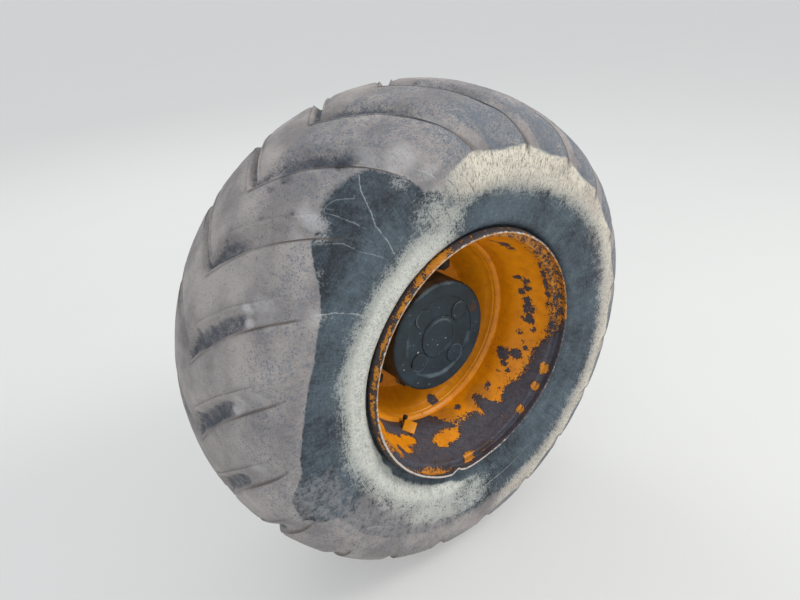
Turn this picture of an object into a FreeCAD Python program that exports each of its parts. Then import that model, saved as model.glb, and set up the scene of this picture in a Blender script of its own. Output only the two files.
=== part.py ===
"""Wheel of a site dumper with its planetary hub, on the end of the axle that carries it.

Millimetres, +Z up. The wheel turns about the Y axis. The origin is the centre of the mating face of
the axle end's flange; +Y leads from it into the axle, -Y to the outside of the machine.
Depths are measured along +Y from the outer edge of the rim's lip. Angles run round the wheel from
+X towards +Z, which is counter-clockwise to someone who stands beside the machine.
"""
import FreeCAD
import Part
import math
import os

from FreeCAD import Vector

# The large rings are turned in flats, three to each lug of the tread
ring_flats = 60

# Gap between two pieces that are pressed or screwed together
fit_gap = 0.1

# Rim: 16 inches between the flanges, 22.5 inches over the bead seats
inch = 25.4
seat_radius = 22.5 * inch / 2
rim_width = 16.0 * inch
lip_radius = 298.5
crest_radius = 303.5
lip_reach = 28.4
flange_corner = 8.0
barrel_wall = 6.5
bead_seat_width = 36.0
bead_taper = math.radians(15)
well_radius = 249.5
well_start = 136.0

# Tyre, outside and inside
tyre_radius = 586.0
belly_half_width = 241.0
belly_drop = 140.0
shoulder_arc = 110.0
sidewall_foot_rise = 6.5
sidewall_thickness = 15.0
crown_thickness = 31.0
inner_shoulder_arc = 80.0
bead_width = 30.0
bead_gap = 0.3
tread_crown_runs = 2
tread_shoulder_runs = 2

# Tread: one V of voids between two lugs. Each row is the arc length from the crown's middle, the
# angles of the void's two edges there, within one pitch of the pattern, and the void's depth.
lug_count = 20
void_top = 14.0
outer_void = (
    (-302.0, 137.5, 144.0, 4.0),
    (-228.0, 143.2, 148.8, 15.0),
    (-187.0, 145.6, 151.3, 19.0),
    (-93.5, 151.3, 157.6, 16.0),
    (-8.0, 157.4, 165.5, 13.0),
)
inner_void = (
    (-22.0, 167.0, 170.3, 11.0),
    (93.5, 157.4, 160.8, 16.0),
    (187.0, 150.8, 155.8, 19.0),
    (228.0, 147.8, 153.6, 15.0),
    (302.0, 143.0, 149.5, 4.0),
)

# Disc
disc_thickness = 14.0
disc_edge_depth = 186.0
disc_face_depth = 268.0
disc_flat_radius = 190.0
disc_band = 14.0
disc_bend = 9.0
disc_cone_set_back = 8.4
disc_edge_gap = 0.2
weld_leg = 8.0

# Hub
hub_radius = 140.7
hub_front_depth = 141.0
hub_chamfer = 3.5
cover_thickness = 26.0
pilot_gap = 0.3
stud_flange_radius = 194.0
stud_flange_thickness = 24.0
hub_tail_radius = 120.0
hub_tail_taper = 14.0
hub_tail_length = 44.0
gear_bore = 116.0
gear_bore_end_wall = 30.0
bearing_bore = 78.0
seal_bore = 98.0
seal_width = 14.0
seal_inset = 2.0

# Wheel studs and nuts
stud_count = 10
stud_circle = 167.5
stud_radius = 11.0
stud_hole_gap = 1.5
stud_phase = 45.0
stud_head_flats = 30.0
stud_head_height = 9.0
stud_end = 3.0
nut_across_flats = 32.0
nut_height = 22.0

# Front cover
cover_land_radius = 103.0
cover_recess = 3.0
centre_boss_radius = 54.0
centre_step_radius = 42.0
centre_step = 1.5
pin_boss_count = 4
pin_boss_circle = 80.0
pin_boss_radius = 24.5
pin_boss_phase = -55.0
plug_circle = 117.0
plug_angle = 18.8
plug_radius = 9.0
plug_height = 5.0
plug_proud = 1.5
plug_socket_flats = 8.0
plug_socket_depth = 4.5
near_screw_circle = 99.7
far_screw_circle = 131.0
cover_screw_places = ((near_screw_circle, 44.0), (far_screw_circle, -143.5))
cover_screw_radius = 4.5
cover_screw_height = 4.0
cover_screw_sink = 6.0

# Valve and its guard, on the barrel
valve_depth = 167.0
valve_angle = -117.0
valve_radius = 4.5
valve_length = 12.0
valve_root = 4.0
valve_seat_gap = 0.4
valve_nut_radius = 8.0
valve_nut_height = 4.0
valve_cap_radius = 6.0
valve_cap_length = 11.0
guard_angle = -120.0
guard_depth = 134.0
guard_width = 38.0
guard_height = 30.0
guard_plate = 5.0
guard_lean = 50.0
guard_skew = 25.0

# Axle end
mount_depth = 400.0
running_gap = 0.25
spindle_reach = 20.0
spindle_bore = 32.0
spindle_root_radius = 104.0
spindle_root_gap = 5.0
sleeve_thickness = 5.0
flange_radius = 150.0
flange_thickness = 24.0
flange_fillet = 8.0
flange_bolt_count = 12
flange_bolt_circle = 128.0
flange_bolt_hole = 8.75
shaft_seal_bore = 21.0
shaft_seal_width = 12.0
shaft_seal_inset = 4.0

AXIS = Vector(0, 1, 0)
ORIGIN = Vector(0, 0, 0)


def at(depth):
    """Y of a depth behind the rim's outer edge."""
    return depth - mount_depth


def around(angle):
    """Unit vector away from the wheel's axis at an angle."""
    turn = math.radians(angle)
    return Vector(math.cos(turn), 0, math.sin(turn))


def place(radius, angle, depth):
    return around(angle) * radius + Vector(0, at(depth), 0)


def rotated(shape, angle):
    """Copy of a shape made at angle 0, brought to its angle round the wheel."""
    copy = shape.copy()
    copy.rotate(ORIGIN, AXIS, -angle)
    return copy


def ring_of(shape, count, phase):
    return [rotated(shape, phase + index * 360.0 / count) for index in range(count)]


def flat(corner):
    return Vector(corner[0], at(corner[1]), 0)


def face_of(points):
    return Part.Face(Part.makePolygon(points + points[:1]))


def turned(corners):
    """Round solid from the corners of its section, each a radius and a depth."""
    return face_of([flat(corner) for corner in corners]).revolve(ORIGIN, AXIS, 360)


def turned_in_flats(corners):
    """Closed ring whose section goes round in flats, so that a large ring stays light."""
    turn = FreeCAD.Rotation(AXIS, -360.0 / ring_flats)
    faces = []
    for index, corner in enumerate(corners):
        last = flat(corners[index - 1])
        here = flat(corner)
        band = face_of([last, here, turn.multVec(here), turn.multVec(last)])
        faces += ring_of(band, ring_flats, 0.0)
    return Part.Solid(Part.Shell(faces))


def faceted_loft(sections):
    """Solid through sections with equal numbers of corners, its sides split into triangles."""
    faces = [face_of(sections[0]), face_of(sections[-1])]
    for near, far in zip(sections, sections[1:]):
        for index, corner in enumerate(near):
            faces.append(face_of([near[index - 1], corner, far[index]]))
            faces.append(face_of([near[index - 1], far[index], far[index - 1]]))
    return Part.Solid(Part.Shell(faces))


def ring(inner_radius, outer_radius, start, end):
    return turned([(inner_radius, start), (outer_radius, start), (outer_radius, end), (inner_radius, end)])


def bar(radius, length, start, direction):
    return Part.makeCylinder(radius, length, start, direction)


def hexagon(across_flats, height, depth, circle):
    """Hexagonal prism that stands outward (-Y) from a depth, at a radius from the wheel's axis."""
    corner = across_flats / math.sqrt(3)
    points = []
    for index in range(6):
        turn = math.radians(60 * index)
        points.append(Vector(circle + corner * math.cos(turn), at(depth), corner * math.sin(turn)))
    return face_of(points).extrude(AXIS * -height)


def save(name, shape):
    shape.exportStep("parts/" + name + ".step")


# Depths and radii that several pieces share
mid_depth = lip_reach + rim_width / 2
belly_radius = tyre_radius - belly_drop
sidewall_foot = crest_radius + sidewall_foot_rise
heel_width = rim_width / 2 - bead_gap
seat_end = lip_reach + bead_seat_width
seat_end_radius = seat_radius - bead_seat_width * math.tan(bead_taper)
well_inner_radius = well_radius - barrel_wall
disc_edge_radius = well_inner_radius - disc_edge_gap
disc_back_depth = disc_face_depth + disc_thickness
flange_back_depth = disc_back_depth + stud_flange_thickness
hub_end_depth = flange_back_depth + hub_tail_length
cover_back_depth = hub_front_depth + cover_thickness
gear_bore_end = disc_back_depth - gear_bore_end_wall
seal_depth = hub_end_depth - seal_width
spindle_radius = bearing_bore - running_gap
flange_front_depth = mount_depth - flange_thickness


def both_sides(half):
    """Points from the outer lip to the middle of the rim, and on to the inner lip."""
    return half + [(radius, 2 * mid_depth - depth) for radius, depth in reversed(half)]


def barrel_section(shift):
    """Corners of the barrel's wall from lip to lip, on the tyre's side or, shifted by the wall, inside."""
    return both_sides([
        (lip_radius - shift, 0.0),
        (crest_radius - shift, lip_reach - flange_corner - shift / 3),
        (crest_radius - flange_corner / 2 - shift, lip_reach - shift),
        (seat_radius - shift, lip_reach - shift * 0.8),
        (seat_end_radius - shift, seat_end),
        (well_radius - shift, well_start),
    ])


def rim_barrel():
    barrel = turned_in_flats(barrel_section(0.0) + barrel_section(barrel_wall)[::-1])
    start = place(well_inner_radius - barrel_wall, valve_angle, valve_depth)
    return barrel.cut(bar(valve_radius + fit_gap, 3 * barrel_wall, start, around(valve_angle)))


class Half:
    """One half of the tyre's section: a crown arc that runs smoothly into a shoulder and a sidewall arc.

    The surface follows the arcs in a few straight runs, and the voids have their sections at the same
    corners, so that a void's floor lies parallel to the tread.
    """

    def __init__(self, top, half_width, shoulder):
        self.top = top
        self.half_width = half_width
        self.shoulder = shoulder
        self.shoulder_centre = half_width - shoulder
        rise = belly_radius - top
        self.crown = (shoulder**2 - rise**2 - self.shoulder_centre**2) / (2 * (rise + shoulder))
        self.crown_angle = math.atan2(self.shoulder_centre, belly_radius - top + self.crown)
        self.crown_length = self.crown * self.crown_angle
        self.shoulder_angle = math.pi / 2 - self.crown_angle
        self.shoulder_length = shoulder * self.shoulder_angle

    def surface(self, length):
        """Half width, radius and slope at an arc length from the crown's middle."""
        if length < self.crown_length:
            angle = length / self.crown
            return (self.crown * math.sin(angle), self.top - self.crown * (1 - math.cos(angle)), angle)
        angle = self.crown_angle + (length - self.crown_length) / self.shoulder
        width = self.shoulder_centre + self.shoulder * math.sin(angle)
        return (width, belly_radius + self.shoulder * math.cos(angle), angle)

    def stations(self, crown_runs, shoulder_runs):
        """Arc lengths of the section's corners, from the first one off the middle to the belly."""
        on_crown = [self.crown_length * (index + 1) / crown_runs for index in range(crown_runs)]
        return on_crown + [self.crown_length + self.shoulder_length * (index + 1) / shoulder_runs
                           for index in range(shoulder_runs)]

    def corners(self, crown_runs, shoulder_runs):
        return [self.surface(length)[:2] for length in self.stations(crown_runs, shoulder_runs)]


outside = Half(tyre_radius, belly_half_width, shoulder_arc)
inside = Half(tyre_radius - crown_thickness, belly_half_width - sidewall_thickness, inner_shoulder_arc)


def sidewall_middle():
    """Point half-way down the arc from the belly, where the section is upright, to the foot."""
    lean = belly_half_width - heel_width
    drop = belly_radius - sidewall_foot
    arc = (lean**2 + drop**2) / (2 * lean)
    turn = math.asin(drop / arc) / 2
    return (belly_half_width - arc * (1 - math.cos(turn)), belly_radius - arc * math.sin(turn))


def tyre_casing():
    """Hollow casing with plain crown, seated on the bead seats and against the flanges."""
    toe_width = rim_width / 2 - bead_width
    heel_radius = seat_radius + bead_gap
    toe_radius = heel_radius - bead_width * math.tan(bead_taper)
    half = [(0.0, tyre_radius)]
    half += outside.corners(tread_crown_runs, tread_shoulder_runs)
    half += [
        sidewall_middle(),
        (heel_width, sidewall_foot),
        (heel_width, heel_radius),
        (toe_width, toe_radius),
    ]
    half += inside.corners(1, 1)[::-1]
    half.append((0.0, inside.top))
    corners = [(radius, mid_depth - width) for width, radius in half]
    corners += [(radius, mid_depth + width) for width, radius in half[-2:0:-1]]
    return turned_in_flats(corners)


def void_cutter(rows):
    """Solid that takes out one arm of the V, from the void's floor to above the tread."""
    sections = []
    for length, low_angle, high_angle, floor in rows:
        width, radius, slope = outside.surface(abs(length))
        side = math.copysign(1.0, length)
        corners = []
        for height, angle in ((-floor, low_angle), (void_top, low_angle),
                              (void_top, high_angle), (-floor, high_angle)):
            out = radius + height * math.cos(slope)
            depth = mid_depth + side * (width + height * math.sin(slope))
            corners.append(place(out, angle, depth))
        sections.append(corners)
    return faceted_loft(sections)


def tyre():
    cutters = ring_of(void_cutter(outer_void), lug_count, 0.0)
    cutters += ring_of(void_cutter(inner_void), lug_count, 0.0)
    return tyre_casing().cut(cutters)


def wheel_disc():
    """Dished disc: an edge band inside the barrel, a bend, a cone and the flat that the nuts clamp."""
    band_end = disc_edge_depth + disc_band
    bend_radius = disc_edge_radius - disc_thickness - disc_bend
    bend_depth = band_end + disc_bend
    disc = turned_in_flats([
        (disc_edge_radius, disc_edge_depth),
        (disc_edge_radius - disc_thickness, disc_edge_depth),
        (disc_edge_radius - disc_thickness, band_end),
        (bend_radius, bend_depth),
        (disc_flat_radius + disc_bend / 3, disc_face_depth - disc_bend / 2),
        (disc_flat_radius, disc_face_depth),
        (hub_radius + pilot_gap, disc_face_depth),
        (hub_radius + pilot_gap, disc_back_depth),
        (disc_flat_radius + disc_cone_set_back, disc_back_depth),
        (bend_radius + disc_thickness, bend_depth + disc_cone_set_back),
        (disc_edge_radius, band_end + disc_cone_set_back),
    ])
    hole = bar(stud_radius + stud_hole_gap, 3 * disc_thickness,
               Vector(stud_circle, at(disc_face_depth - disc_thickness), 0), AXIS)
    return disc.cut(ring_of(hole, stud_count, stud_phase))


def disc_weld():
    return turned_in_flats([
        (disc_edge_radius, disc_edge_depth),
        (disc_edge_radius, disc_edge_depth - weld_leg),
        (disc_edge_radius - weld_leg, disc_edge_depth),
    ])


def hub_body():
    body = turned([
        (gear_bore, cover_back_depth),
        (hub_radius, cover_back_depth),
        (hub_radius, disc_back_depth),
        (stud_flange_radius, disc_back_depth),
        (stud_flange_radius, flange_back_depth),
        (hub_tail_radius + hub_tail_taper, flange_back_depth),
        (hub_tail_radius, hub_end_depth),
        (seal_bore, hub_end_depth),
        (seal_bore, seal_depth),
        (bearing_bore, seal_depth),
        (bearing_bore, gear_bore_end),
        (gear_bore, gear_bore_end),
    ])
    hole = bar(stud_radius + fit_gap, 2 * stud_flange_thickness,
               Vector(stud_circle, at(disc_back_depth - stud_flange_thickness / 2), 0), AXIS)
    return body.cut(ring_of(hole, stud_count, stud_phase))


def planet_cover():
    cover = turned([
        (0.0, hub_front_depth),
        (hub_radius - hub_chamfer, hub_front_depth),
        (hub_radius, hub_front_depth + hub_chamfer),
        (hub_radius, cover_back_depth),
        (0.0, cover_back_depth),
    ])
    front = Vector(0, at(hub_front_depth), 0)
    recess = bar(cover_land_radius, cover_recess, front, AXIS)
    recess = recess.cut(bar(centre_boss_radius, cover_recess, front, AXIS))
    boss = bar(pin_boss_radius, cover_recess, front + Vector(pin_boss_circle, 0, 0), AXIS)
    recess = recess.cut(ring_of(boss, pin_boss_count, pin_boss_phase))
    step = ring(centre_step_radius, centre_boss_radius, hub_front_depth, hub_front_depth + centre_step)
    tools = [recess, step, bar(plug_radius + fit_gap, plug_height,
                               place(plug_circle, plug_angle, hub_front_depth), AXIS)]
    for radius, angle in cover_screw_places:
        tools.append(bar(cover_screw_radius + fit_gap, cover_screw_sink,
                         place(radius, angle, hub_front_depth), AXIS))
    return cover.cut(tools)


def cover_screws():
    heads = []
    for radius, angle in cover_screw_places:
        foot = place(radius, angle, hub_front_depth + cover_screw_sink - cover_screw_height)
        heads.append(bar(cover_screw_radius, cover_screw_height, foot, AXIS))
    return Part.makeCompound(heads)


def oil_plug():
    front = hub_front_depth - plug_proud
    head = bar(plug_radius, plug_height + plug_proud, place(plug_circle, 0, front), AXIS)
    socket = hexagon(plug_socket_flats, plug_socket_depth, front + plug_socket_depth, plug_circle)
    return rotated(head.cut(socket), plug_angle)


def wheel_studs():
    front = disc_face_depth - nut_height - stud_end
    stud = bar(stud_radius, flange_back_depth - front, Vector(stud_circle, at(front), 0), AXIS)
    head = hexagon(stud_head_flats, stud_head_height, flange_back_depth + stud_head_height, stud_circle)
    return Part.makeCompound(ring_of(stud.fuse(head).removeSplitter(), stud_count, stud_phase))


def wheel_nuts():
    nut = hexagon(nut_across_flats, nut_height, disc_face_depth, stud_circle)
    foot = Vector(stud_circle, at(disc_face_depth), 0)
    nut = nut.cut(bar(stud_radius + fit_gap, nut_height, foot, AXIS * -1))
    return Part.makeCompound(ring_of(nut, stud_count, stud_phase))


def hub_seal():
    sleeve_radius = spindle_radius + sleeve_thickness
    return ring(sleeve_radius + running_gap, seal_bore - fit_gap, seal_depth, hub_end_depth - seal_inset)


def valve_stem():
    return bar(valve_radius, valve_length + barrel_wall + valve_root,
               place(well_inner_radius - valve_length, valve_angle, valve_depth), around(valve_angle))


def valve_nut():
    foot = place(well_inner_radius - valve_nut_height - valve_seat_gap, valve_angle, valve_depth)
    nut = bar(valve_nut_radius, valve_nut_height, foot, around(valve_angle))
    return nut.cut(bar(valve_radius + fit_gap, valve_nut_height, foot, around(valve_angle)))


def valve_cap():
    return bar(valve_cap_radius, valve_cap_length,
               place(well_inner_radius - valve_length - valve_cap_length, valve_angle, valve_depth),
               around(valve_angle))


def valve_guard():
    """Plate that leans over the valve, its foot cut to the barrel's wall."""
    buried = 2 * barrel_wall
    plate = Part.makeBox(guard_height + buried, guard_plate, guard_width,
                         Vector(-guard_height, -guard_plate / 2, -guard_width / 2))
    plate.rotate(ORIGIN, Vector(0, 0, 1), -guard_lean)
    plate.rotate(ORIGIN, Vector(1, 0, 0), guard_skew)
    plate.translate(Vector(well_inner_radius, at(guard_depth), 0))
    plate = rotated(plate, guard_angle)
    wall = barrel_section(barrel_wall)
    outer = [(lip_radius + inch, corner[1]) for corner in (wall[-1], wall[0])]
    return plate.cut(turned_in_flats(wall + outer))


def spindle():
    root_start = hub_end_depth + spindle_root_gap
    post = turned([
        (spindle_bore, gear_bore_end - spindle_reach),
        (spindle_radius, gear_bore_end - spindle_reach),
        (spindle_radius, root_start),
        (spindle_root_radius, root_start),
        (spindle_root_radius, flange_front_depth - flange_fillet),
        (spindle_root_radius + flange_fillet, flange_front_depth),
        (flange_radius, flange_front_depth),
        (flange_radius, mount_depth),
        (spindle_bore, mount_depth),
    ])
    hole = bar(flange_bolt_hole, flange_thickness,
               Vector(flange_bolt_circle, at(flange_front_depth), 0), AXIS)
    return post.cut(ring_of(hole, flange_bolt_count, 0.0))


def spindle_sleeve():
    return ring(spindle_radius + fit_gap, spindle_radius + sleeve_thickness,
                seal_depth + fit_gap, hub_end_depth + spindle_root_gap)


def shaft_seal():
    return ring(shaft_seal_bore, spindle_bore - fit_gap,
                mount_depth - shaft_seal_inset - shaft_seal_width, mount_depth - shaft_seal_inset)


os.makedirs("parts", exist_ok=True)
save("tyre", tyre())
save("rim_barrel", rim_barrel())
save("wheel_disc", wheel_disc())
save("disc_weld", disc_weld())
save("hub_body", hub_body())
save("planet_cover", planet_cover())
save("cover_screws", cover_screws())
save("oil_plug", oil_plug())
save("wheel_studs", wheel_studs())
save("wheel_nuts", wheel_nuts())
save("hub_seal", hub_seal())
save("valve_stem", valve_stem())
save("valve_nut", valve_nut())
save("valve_cap", valve_cap())
save("valve_guard", valve_guard())
save("spindle", spindle())
save("spindle_sleeve", spindle_sleeve())
save("shaft_seal", shaft_seal())
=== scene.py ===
"""Looks of a site dumper's wheel: worn chevron tyre, chipped rim, planetary hub and axle end.

Metres, +Z up, the wheel turns about Y. Tables give depths behind the rim's outer edge and other sizes
in millimetres, and angles round the wheel in degrees from +X towards +Z.
"""

import math

import bmesh
import bpy
from mathutils import Matrix, Vector, noise


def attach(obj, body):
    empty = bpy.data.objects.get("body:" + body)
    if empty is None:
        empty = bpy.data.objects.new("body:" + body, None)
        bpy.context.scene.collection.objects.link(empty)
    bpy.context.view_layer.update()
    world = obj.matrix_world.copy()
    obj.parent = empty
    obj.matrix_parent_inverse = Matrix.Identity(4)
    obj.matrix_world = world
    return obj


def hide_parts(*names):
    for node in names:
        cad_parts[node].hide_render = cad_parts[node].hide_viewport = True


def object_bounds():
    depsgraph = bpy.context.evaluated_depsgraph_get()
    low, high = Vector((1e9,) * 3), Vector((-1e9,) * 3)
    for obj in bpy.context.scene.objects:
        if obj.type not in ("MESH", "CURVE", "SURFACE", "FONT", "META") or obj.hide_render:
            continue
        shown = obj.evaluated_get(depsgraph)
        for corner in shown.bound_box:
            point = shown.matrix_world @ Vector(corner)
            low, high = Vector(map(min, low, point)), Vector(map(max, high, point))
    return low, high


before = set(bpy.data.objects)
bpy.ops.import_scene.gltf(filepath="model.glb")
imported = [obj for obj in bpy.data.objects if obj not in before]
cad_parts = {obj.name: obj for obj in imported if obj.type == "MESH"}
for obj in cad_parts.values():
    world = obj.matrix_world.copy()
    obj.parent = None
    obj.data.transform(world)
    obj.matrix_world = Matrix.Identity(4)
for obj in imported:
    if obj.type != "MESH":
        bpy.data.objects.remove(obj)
cad_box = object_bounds()

MM = 0.001
CENTRE = Vector((0, 0, 0))
AXIS = Vector((0, 1, 0))
MOUNT_DEPTH = 400.0


def at(depth):
    return (depth - MOUNT_DEPTH) * MM


def place(radius, angle, depth):
    turn = math.radians(angle)
    return Vector((radius * MM * math.cos(turn), at(depth), radius * MM * math.sin(turn)))


def turn_to(angle):
    """Turns what was made at angle 0 to its angle round the wheel."""
    return Matrix.Rotation(-math.radians(angle), 4, "Y")


def wheel_place(point):
    """Radius, angle and depth of a point."""
    return (math.hypot(point.x, point.z) / MM, math.degrees(math.atan2(point.z, point.x)) % 360,
            point.y / MM + MOUNT_DEPTH)


def ease(value, low, high):
    """0 below low, 1 above high, smooth between; low may be above high."""
    part = min(1.0, max(0.0, (value - low) / (high - low)))
    return part * part * (3 - 2 * part)


def along_rows(rows, value):
    """Linear reading of a table whose rows start with a rising value."""
    if value <= rows[0][0]:
        return rows[0][1:]
    for last, row in zip(rows, rows[1:]):
        if value <= row[0]:
            part = (value - last[0]) / (row[0] - last[0])
            return [a + (b - a) * part for a, b in zip(last[1:], row[1:])]
    return rows[-1][1:]


def angle_between(angle, other):
    return (angle - other + 180) % 360 - 180


def patches(table, angle, across, radius):
    """Strongest of the patches at a place; each is angle, place across, half sizes in mm, and strength."""
    best = 0.0
    for middle, centre, half_round, half_across, strength in table:
        swing = math.radians(angle_between(angle, middle)) * radius / half_round
        reach = math.hypot(swing, (across - centre) / half_across)
        if reach < 1.6:
            best = max(best, strength * ease(reach, 1.6, 0.4))
    return best


# ---- making shapes

def sectioned(bm, corners, spacing):
    """Outline of a turned piece. Each corner is a radius, a depth and, where it is rounded, the rounding."""
    face = bm.faces.new([bm.verts.new((corner[0] * MM, at(corner[1]), 0)) for corner in corners])
    bm.verts.ensure_lookup_table()
    rounded = [(bm.verts[index], corner[2]) for index, corner in enumerate(corners) if len(corner) > 2]
    for vertex, size in rounded:
        bmesh.ops.bevel(bm, geom=[vertex], offset=size * MM, offset_type="OFFSET", segments=4,
                        profile=0.5, affect="VERTICES", material=-1)
    bmesh.ops.delete(bm, geom=bm.faces[:], context="FACES_ONLY")
    on_axis = [e for e in bm.edges if max(abs(v.co.x) for v in e.verts) < 1e-6]
    bmesh.ops.delete(bm, geom=on_axis, context="EDGES")
    for edge in [e for e in bm.edges if e.calc_length() > 1.5 * spacing * MM]:
        bmesh.ops.subdivide_edges(bm, edges=[edge], cuts=round(edge.calc_length() / spacing / MM) - 1)


def spun(bm, steps, sectors=12):
    """Turns the outline through one sector of the wheel, and rings the sectors to a closed shape."""
    bmesh.ops.spin(bm, geom=bm.verts[:] + bm.edges[:], cent=CENTRE, axis=AXIS, angle=2 * math.pi / sectors,
                   steps=steps // sectors)
    repeated(bm, sectors, 0.0)
    bmesh.ops.remove_doubles(bm, verts=bm.verts, dist=1e-5)
    bmesh.ops.recalc_face_normals(bm, faces=bm.faces)


def turned(corners, steps, spacing=20.0):
    bm = bmesh.new()
    sectioned(bm, corners, spacing)
    spun(bm, steps)
    return bm


def repeated(bm, count, phase):
    """Rings copies of what is at angle 0 round the wheel's axis."""
    first = bm.verts[:] + bm.edges[:] + bm.faces[:]
    for index in range(1, count):
        copy = bmesh.ops.duplicate(bm, geom=first)["geom"]
        bmesh.ops.transform(bm, matrix=turn_to(index * 360 / count),
                            verts=[g for g in copy if isinstance(g, bmesh.types.BMVert)])
    bmesh.ops.transform(bm, matrix=turn_to(phase), verts=bm.verts)


def prism(bm, sides, radius, low, high, round_top=0.0, round_foot=0.0):
    """Upright prism about Z; its ends may be bevelled."""
    made = bmesh.ops.create_circle(bm, cap_ends=True, segments=sides, radius=radius * MM)["verts"]
    bmesh.ops.translate(bm, verts=made, vec=(0, 0, low * MM))
    foot = made[0].link_faces[0]
    raised = bmesh.ops.extrude_face_region(bm, geom=[foot])["geom"]
    tops = [g for g in raised if isinstance(g, bmesh.types.BMVert)]
    bmesh.ops.translate(bm, verts=tops, vec=(0, 0, (high - low) * MM))
    cap = [g for g in raised if isinstance(g, bmesh.types.BMFace)][0]
    if not foot.is_valid:
        foot = bm.faces.new(made)
    for rounding, edges in ((round_top, cap.edges[:]), (round_foot, foot.edges[:])):
        if rounding:
            bmesh.ops.bevel(bm, geom=edges, offset=rounding * MM, offset_type="OFFSET", segments=3,
                            profile=0.5, affect="EDGES", material=-1)
    return tops


def holed(bm, count, phase, circle, size, front, back):
    """Drills a ring of holes through a flat flange of a turned piece, between two depths."""
    for index in range(count):
        middle = place(circle, phase + index * 360 / count, 0.0)
        rims = []
        for depth in (front, back):
            near = [f for f in bm.faces if abs(f.normal.y) > 0.9 and abs(f.calc_center_median().y - at(depth)) < 1e-5
                    and any(math.hypot(v.co.x - middle.x, v.co.z - middle.z) < (size + 4) * MM for v in f.verts)]
            bmesh.ops.delete(bm, geom=near, context="FACES")
            outline = [e for e in bm.edges if e.is_boundary]
            ring = bmesh.ops.create_circle(bm, segments=24, radius=size * MM)["verts"]
            bmesh.ops.transform(bm, verts=ring, matrix=Matrix.Translation((middle.x, at(depth), middle.z))
                                @ Matrix.Rotation(math.pi / 2, 4, "X"))
            edges = list({e for v in ring for e in v.link_edges})
            bmesh.ops.bridge_loops(bm, edges=outline + edges)
            rims.append(ring)
        walls = [list({e for v in ring for e in v.link_edges if e.other_vert(v) in ring}) for ring in rims]
        bmesh.ops.bridge_loops(bm, edges=walls[0] + walls[1])
    bmesh.ops.recalc_face_normals(bm, faces=bm.faces)


def outward(radius, angle, depth):
    """Brings what stands on the origin along Z to stand on the wheel, pointing outward (-Y)."""
    return Matrix.Translation(place(radius, angle, depth)) @ Matrix.Rotation(math.pi / 2, 4, "X")


def pieced(name, bm, material, body, slot, *nodes, sharp=32.0):
    """Finished piece from its mesh."""
    mesh = bpy.data.meshes.new(name)
    bm.to_mesh(mesh)
    bm.free()
    mesh.shade_smooth()
    mesh.set_sharp_from_angle(angle=math.radians(sharp))
    mesh.materials.append(material)
    piece = bpy.data.objects.new(name, mesh)
    bpy.context.collection.objects.link(piece)
    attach(piece, body)
    if nodes:
        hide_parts(*nodes)
    return piece


# ---- making finishes

def colour(code):
    """Linear colour of an sRGB hex code."""
    parts = [int(code[index:index + 2], 16) / 255 for index in (1, 3, 5)]
    return tuple(p / 12.92 if p <= 0.04045 else ((p + 0.055) / 1.055) ** 2.4 for p in parts) + (1.0,)


def per(size):
    """Pattern scale that gives features of a size in millimetres."""
    return 1 / (size * MM)


def add(owner, kind, sockets=(), output=None, **settings):
    """Adds a shader node; each socket, by name or number, gets a value or a link.

    Gives the output of that name, or else the first one.
    """
    node = owner.node_tree.nodes.new("ShaderNode" + kind)
    for name, value in settings.items():
        setattr(node, name, value)
    for name, value in dict(sockets).items():
        socket = node.inputs[name] if isinstance(name, int) else next(
            s for s in node.inputs if s.enabled and s.name == name)
        if isinstance(value, bpy.types.NodeSocket):
            owner.node_tree.links.new(value, socket)
        else:
            socket.default_value = value
    return node.outputs[output] if output else next(s for s in node.outputs if s.enabled)


def finish(name, **constants):
    """New material whose surface shader has its constant sockets set."""
    material = bpy.data.materials.new(name)
    material.use_nodes = True
    shader = material.node_tree.nodes["Principled BSDF"]
    for socket, value in constants.items():
        shader.inputs[socket.replace("_", " ")].default_value = value
    return material, shader


def link(material, source, shader, socket):
    material.node_tree.links.new(source, shader.inputs[socket])


def wheel_directions(material, here):
    """Radius from the wheel's axis, and the direction away from it, which is unbroken all the way round."""
    split = add(material, "SeparateXYZ", {"Vector": here}).node.outputs
    flat = add(material, "CombineXYZ", {"X": split["X"], "Z": split["Z"]})
    radius = add(material, "VectorMath", {0: flat}, output="Value", operation="LENGTH")
    return radius, add(material, "VectorMath", {0: flat}, operation="NORMALIZE")


def fanned(material, away, radius, width, length):
    """Pattern of scuffs that run out from the wheel's axis, of a width and a length in mm."""
    round_it = add(material, "VectorMath", {0: away, 1: (0.45, 0.45, 0.45)}, operation="MULTIPLY")
    out = add(material, "Math", {0: radius, 1: width / length}, operation="MULTIPLY")
    lie = add(material, "VectorMath", {0: round_it, 1: add(material, "CombineXYZ", {"Y": out})}, operation="ADD")
    return add(material, "TexNoise", {"Vector": lie, "Scale": per(width), "Detail": 3.0, "Roughness": 0.6})


def scratches(material, here, turn, width, length, share):
    """Fine straight scratches that run one way; share is how much of the surface they take."""
    lie = add(material, "Mapping", {"Vector": here, "Rotation": turn,
                                    "Scale": (length * MM, width * MM, width * MM)}, vector_type="TEXTURE")
    lines = add(material, "TexNoise", {"Vector": lie, "Scale": 1.0, "Detail": 1.0})
    return add(material, "MapRange", {"Value": lines, "From Min": 0.70 - share, "From Max": 0.76 - share})


def weighed(material, *parts):
    """Sum of patterns, each with its weight."""
    total = 0.0
    for source, weight in parts:
        total = add(material, "Math", {0: source, 1: weight, 2: total}, operation="MULTIPLY_ADD")
    return total


def coated(material, under, *coats):
    """Colour with others over it; each coat grows from none at a pattern's low to its share at the high."""
    for pattern, low, high, share, tint in coats:
        cover = add(material, "MapRange", {"Value": pattern, "From Min": low, "From Max": high, "To Max": share})
        under = add(material, "Mix", {"Factor": cover, "A": under, "B": colour(tint)}, data_type="RGBA")
    return under


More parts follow.
